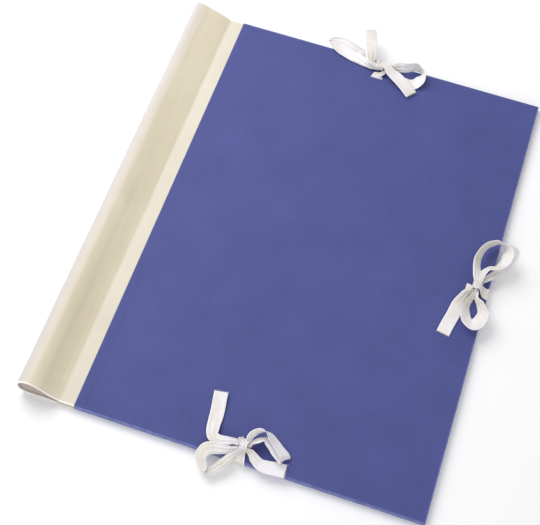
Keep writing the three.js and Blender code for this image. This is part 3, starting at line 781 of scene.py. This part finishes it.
class TapeMesh:  # gathers the strands of one tape, in tie coordinates
    def __init__(self, size):
        self.size, self.vertices, self.uvs, self.faces = size, [], [], []
        self.cutEnd = []
        self.length = 0.0

    def addStrand(self, stations, pleatSeed=0.0, cut=False):
        size = self.size
        points = [Vector(s[:3]) for s in stations]
        across = [direction(s[3], s[4]) for s in stations]
        for i in range(1, len(across)):
            if across[i].dot(across[i - 1]) < 0:
                across[i].negate()
        spans = len(stations) - 1
        steps = spans * size["stepsPerStation"]
        columns = size["stepsAcross"] + 1
        half = size["width"] / 2
        wave, waveAlong = size["wobbleWaves"]
        centres = [catmullRom(points, i / steps) for i in range(steps + 1)]
        sections, run = [], 0.0
        for i, centre in enumerate(centres):
            if i:
                run += (centre - centres[i - 1]).length
            tangent = (centres[min(i + 1, steps)] - centres[max(i - 1, 0)]).normalized()
            t = i / steps * spans
            here = min(int(t + 1e-9), spans - 1)
            part = t - here
            soft = part * part * (3 - 2 * part)
            side = across[here].lerp(across[here + 1], soft)
            side = (side - tangent * side.dot(tangent)).normalized()
            up = tangent.cross(side)
            width = stations[here][5] + (stations[here + 1][5] - stations[here][5]) * soft
            drawn = width / size["width"]
            # A tape drawn narrower than its cut width stands in pleats that take up the cloth
            depth = size["pleatDepth"] * half / size["pleats"] * math.sqrt(max(0.0, 1 - drawn * drawn))
            row = []
            for k in range(columns):
                s = -1 + 2 * k / size["stepsAcross"]
                fold = math.sin(math.pi * size["pleats"] * s + pleatSeed + size["pleatDrift"] * run) * depth
                dish = size["dish"] * (1 - s * s) * drawn
                wobble = size["wobble"] * noise.noise(Vector((s * wave, run * waveAlong, pleatSeed)))
                row.append((centre + side * (s * width / 2), up, fold + dish + wobble, s * half, run))
            sections.append(row)
        self.length += run
        if cut:
            aim = (centres[-1] - centres[-2]).normalized()
            self.cutEnd += [(place + up * height, aim) for place, up, height, u, v in sections[-1]]
        self.skin(sections)

    def skin(self, sections):
        columns, rows = len(sections[0]), len(sections)
        first = len(self.vertices)
        half = self.size["thickness"] / 2
        for face in (1, -1):
            for row in sections:
                for k, (place, up, height, u, v) in enumerate(row):
                    thin = self.size["selvedgeShare"] if k in (0, columns - 1) else 1
                    self.vertices.append(place + up * (height + face * half * thin))
                    self.uvs.append((u * mm, v * mm))
        other = first + rows * columns
        for base, flip in ((first, False), (other, True)):
            for r in range(rows - 1):
                for k in range(columns - 1):
                    a = base + r * columns + k
                    quad = (a, a + columns, a + columns + 1, a + 1)
                    self.faces.append(quad[::-1] if flip else quad)
        for r in range(rows - 1):
            a, b = r * columns, r * columns + columns - 1
            self.faces.append((first + a, other + a, other + a + columns, first + a + columns))
            self.faces.append((first + b + columns, other + b + columns, other + b, first + b))
        for k in range(columns - 1):
            a, b = k, (rows - 1) * columns + k
            self.faces.append((first + a + 1, other + a + 1, other + a, first + a))
            self.faces.append((first + b, other + b, other + b + 1, first + b + 1))

    def finish(self, name, bow):
        turn = Matrix.Rotation(bow["turn"], 3, "Z")
        shift = Vector((*bow["place"], topFace))
        piece = newPiece(name, [turn @ v + shift for v in self.vertices], self.faces, cottonTape)
        setUv(piece, self.uvs)
        fray = makeFray(name + "_fray", [(turn @ place + shift, turn @ aim) for place, aim in self.cutEnd])
        return piece, fray, self.length


def knotRoots(bow):  # where the back tape's stretches leave the knot
    (along, knot), height, ring = bow["knot"], tapes["knotHeight"], tapes["ringRadius"]
    return {
        "edgeSide": [along, knot - ring, height, 90, 90, 4],
        "farSide": [along, knot + ring, height, 90, 90, 4],
        "top": [along, knot, height + ring, 90, 0, 4],
    }


def coreEnd(bow, end):
    return [bow["knot"][0] + end * tapes["coreReach"], bow["knot"][1], tapes["knotHeight"], 90, 0, 4.4]


def gluedEnd(inner):  # from the end of the glued stretch to the slit, at the height inner
    inset, wide = tapes["slitInset"], tapes["width"]
    places = (tapes["anchorLength"], 4, 0.7)
    return [[0, inset + past, inner, 0, 0, wide] for past in places]


def makeFrontTape(name, bow):
    tape = TapeMesh(tapes)
    inset, wide, (along, knot) = tapes["slitInset"], tapes["width"], bow["knot"]
    far, near = tapes["coreReach"] + 0.6, tapes["coreReach"] + 0.4
    slit = [[0, inset, -1.4, 0, 0, wide], [0, inset, -0.4, 0, 0, wide], [0, inset - 0.5, 0.3, 0, 0, wide]]
    riser = gluedEnd(-tapes["gluedDepth"]) + slit + bow["frontRiser"]
    tape.addStrand(riser + [coreEnd(bow, bow["riserEnd"])], 0.4)
    tape.addStrand([coreEnd(bow, bow["loopEnd"])] + bow["frontLoop"] + [coreEnd(bow, bow["loopEnd"])], 1.3)
    tape.addStrand([coreEnd(bow, bow["tailEnd"])] + bow["frontTail"], 2.2, cut=True)
    # Two lengths cross inside the knot
    tape.addStrand([
        [along - far, knot - 0.6, 4.6, 60, 40, 4.8], [along - 2, knot + 0.5, 5.4, 100, 60, 4.4],
        [along + 2, knot - 0.4, 5.2, 80, -20, 4.4], [along + far, knot + 0.4, 5, 100, 30, 4.8]], 0.9)
    tape.addStrand([
        [along - near, knot + 0.8, 5.4, 100, -50, 4.4], [along, knot - 0.4, 4.4, 90, 10, 4],
        [along + near, knot - 0.8, 5.4, 80, 50, 4.4]], 2.9)
    return tape.finish(name, bow)


def wrapStations(bow, size):  # round the other tape, a little askew
    (along, knot), radius = bow["knot"], tapes["ringRadius"]
    stations = []
    for i in range(size["steps"] + 1):
        done = i / size["steps"]
        angle = math.radians(size["start"] + 360 * size["turns"] * done)
        reach = radius + size["sway"] * math.sin(3 * angle) + size["growth"] * done
        stations.append([
            along + size["drift"] * (2 * done - 1), knot + reach * math.cos(angle),
            tapes["knotHeight"] + size["flat"] * reach * math.sin(angle),
            size["heading"] * math.cos(angle), size["tilt"] * math.sin(angle), size["width"]])
    return stations


def makeBackTape(name, bow):
    tape = TapeMesh(tapes)
    inset, wide, (along, knot) = tapes["slitInset"], tapes["width"], bow["knot"]
    inner = tapes["gluedDepth"] - topFace
    under = -topFace - tapes["lift"]
    wall = -paperThickness - tapes["wallGap"] - tapes["lift"]
    slit = [[0, inset, inner - 0.7, 0, 0, wide], [0, inset, inner - 1.8, 0, 0, wide]]
    outside = [[0, v, under, 0, 0, wide] for v in (inset - 0.8, 14, 6, 0.4)]
    upTheEdge = [
        [0, wall, under + 1.2, 0, 0, wide], [0, wall, -2.6, 0, 0, wide], [0, wall + 0.05, -0.4, 0, 0, wide],
        [0, -0.3, 0.95, 0, 0, 11.5], [0, 1.6, 1.3, 0, 0, 10.5], [along * 0.6, knot - 5.6, 2.3, 0, 0, 7],
        [along, knot - tapes["ringRadius"], tapes["knotHeight"], 0, 0, 4.6]]
    tape.addStrand(gluedEnd(inner) + slit + outside + upTheEdge, 0.4)
    place = knotRoots(bow)
    first, end = (place[key] for key in bow["backLoopRoots"])
    tape.addStrand([first] + bow["backLoop"] + [end], 1.8)
    tape.addStrand([place[bow["backTailRoot"]]] + bow["backTail"], 0.1, cut=True)
    tape.addStrand(wrapStations(bow, wrapRound), 1.1)
    return tape.finish(name, bow)


for bowName, bow in bows.items():
    for side, make in (("front", makeFrontTape), ("back", makeBackTape)):
        nodeName = f"{bowName}_{side}_tape"
        piece, fray, length = make(f"{nodeName}_cotton", bow)
        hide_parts(nodeName)
        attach(piece, "root")
        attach(fray, "root")
        print(nodeName, "length", round(length), "mm")


# Floor, light and air

studio = {                # m and W
    "floorSize": 6.0,
    "floorDepth": 0.0005,  # at least, under the origin
    "floorColour": "#fcfcfd",
    "airColour": "#ffffff",
    "airStrength": 0.55,
    "lamps": {
        "key": {"place": (-0.66, 0.38, 0.82), "width": 0.8, "power": 8.6},
        "fill": {"place": (0.15, -1.25, 0.9), "width": 1.3, "power": 6.0},
    },
}


def makeStudio(size):
    low = min(cadBounds[0][2], -size["floorDepth"])
    half = size["floorSize"] / 2
    floorPaper = newMaterial("studioFloor", {"Roughness": 0.9, "Base Color": linear(size["floorColour"])})[0]
    corners = [(x * half / mm, y * half / mm, low / mm) for x, y in ((-1, -1), (1, -1), (1, 1), (-1, 1))]
    floor = newPiece("studio_floor", corners, [(0, 1, 2, 3)], floorPaper, False)
    world = bpy.data.worlds.new("studio")
    bpy.context.scene.world = world
    world.use_nodes = True
    background = world.node_tree.nodes["Background"]
    background.inputs[0].default_value = linear(size["airColour"])
    background.inputs[1].default_value = size["airStrength"]
    for name, lamp in size["lamps"].items():
        data = bpy.data.lights.new(name, "AREA")
        data.energy = lamp["power"]
        data.size = lamp["width"]
        light = bpy.data.objects.new(name, data)
        light.location = lamp["place"]
        light.rotation_euler = (-Vector(lamp["place"])).to_track_quat("-Z", "Y").to_euler()
        bpy.context.scene.collection.objects.link(light)


makeStudio(studio)
bpy.context.scene.view_settings.view_transform = "Standard"
print("studio set")
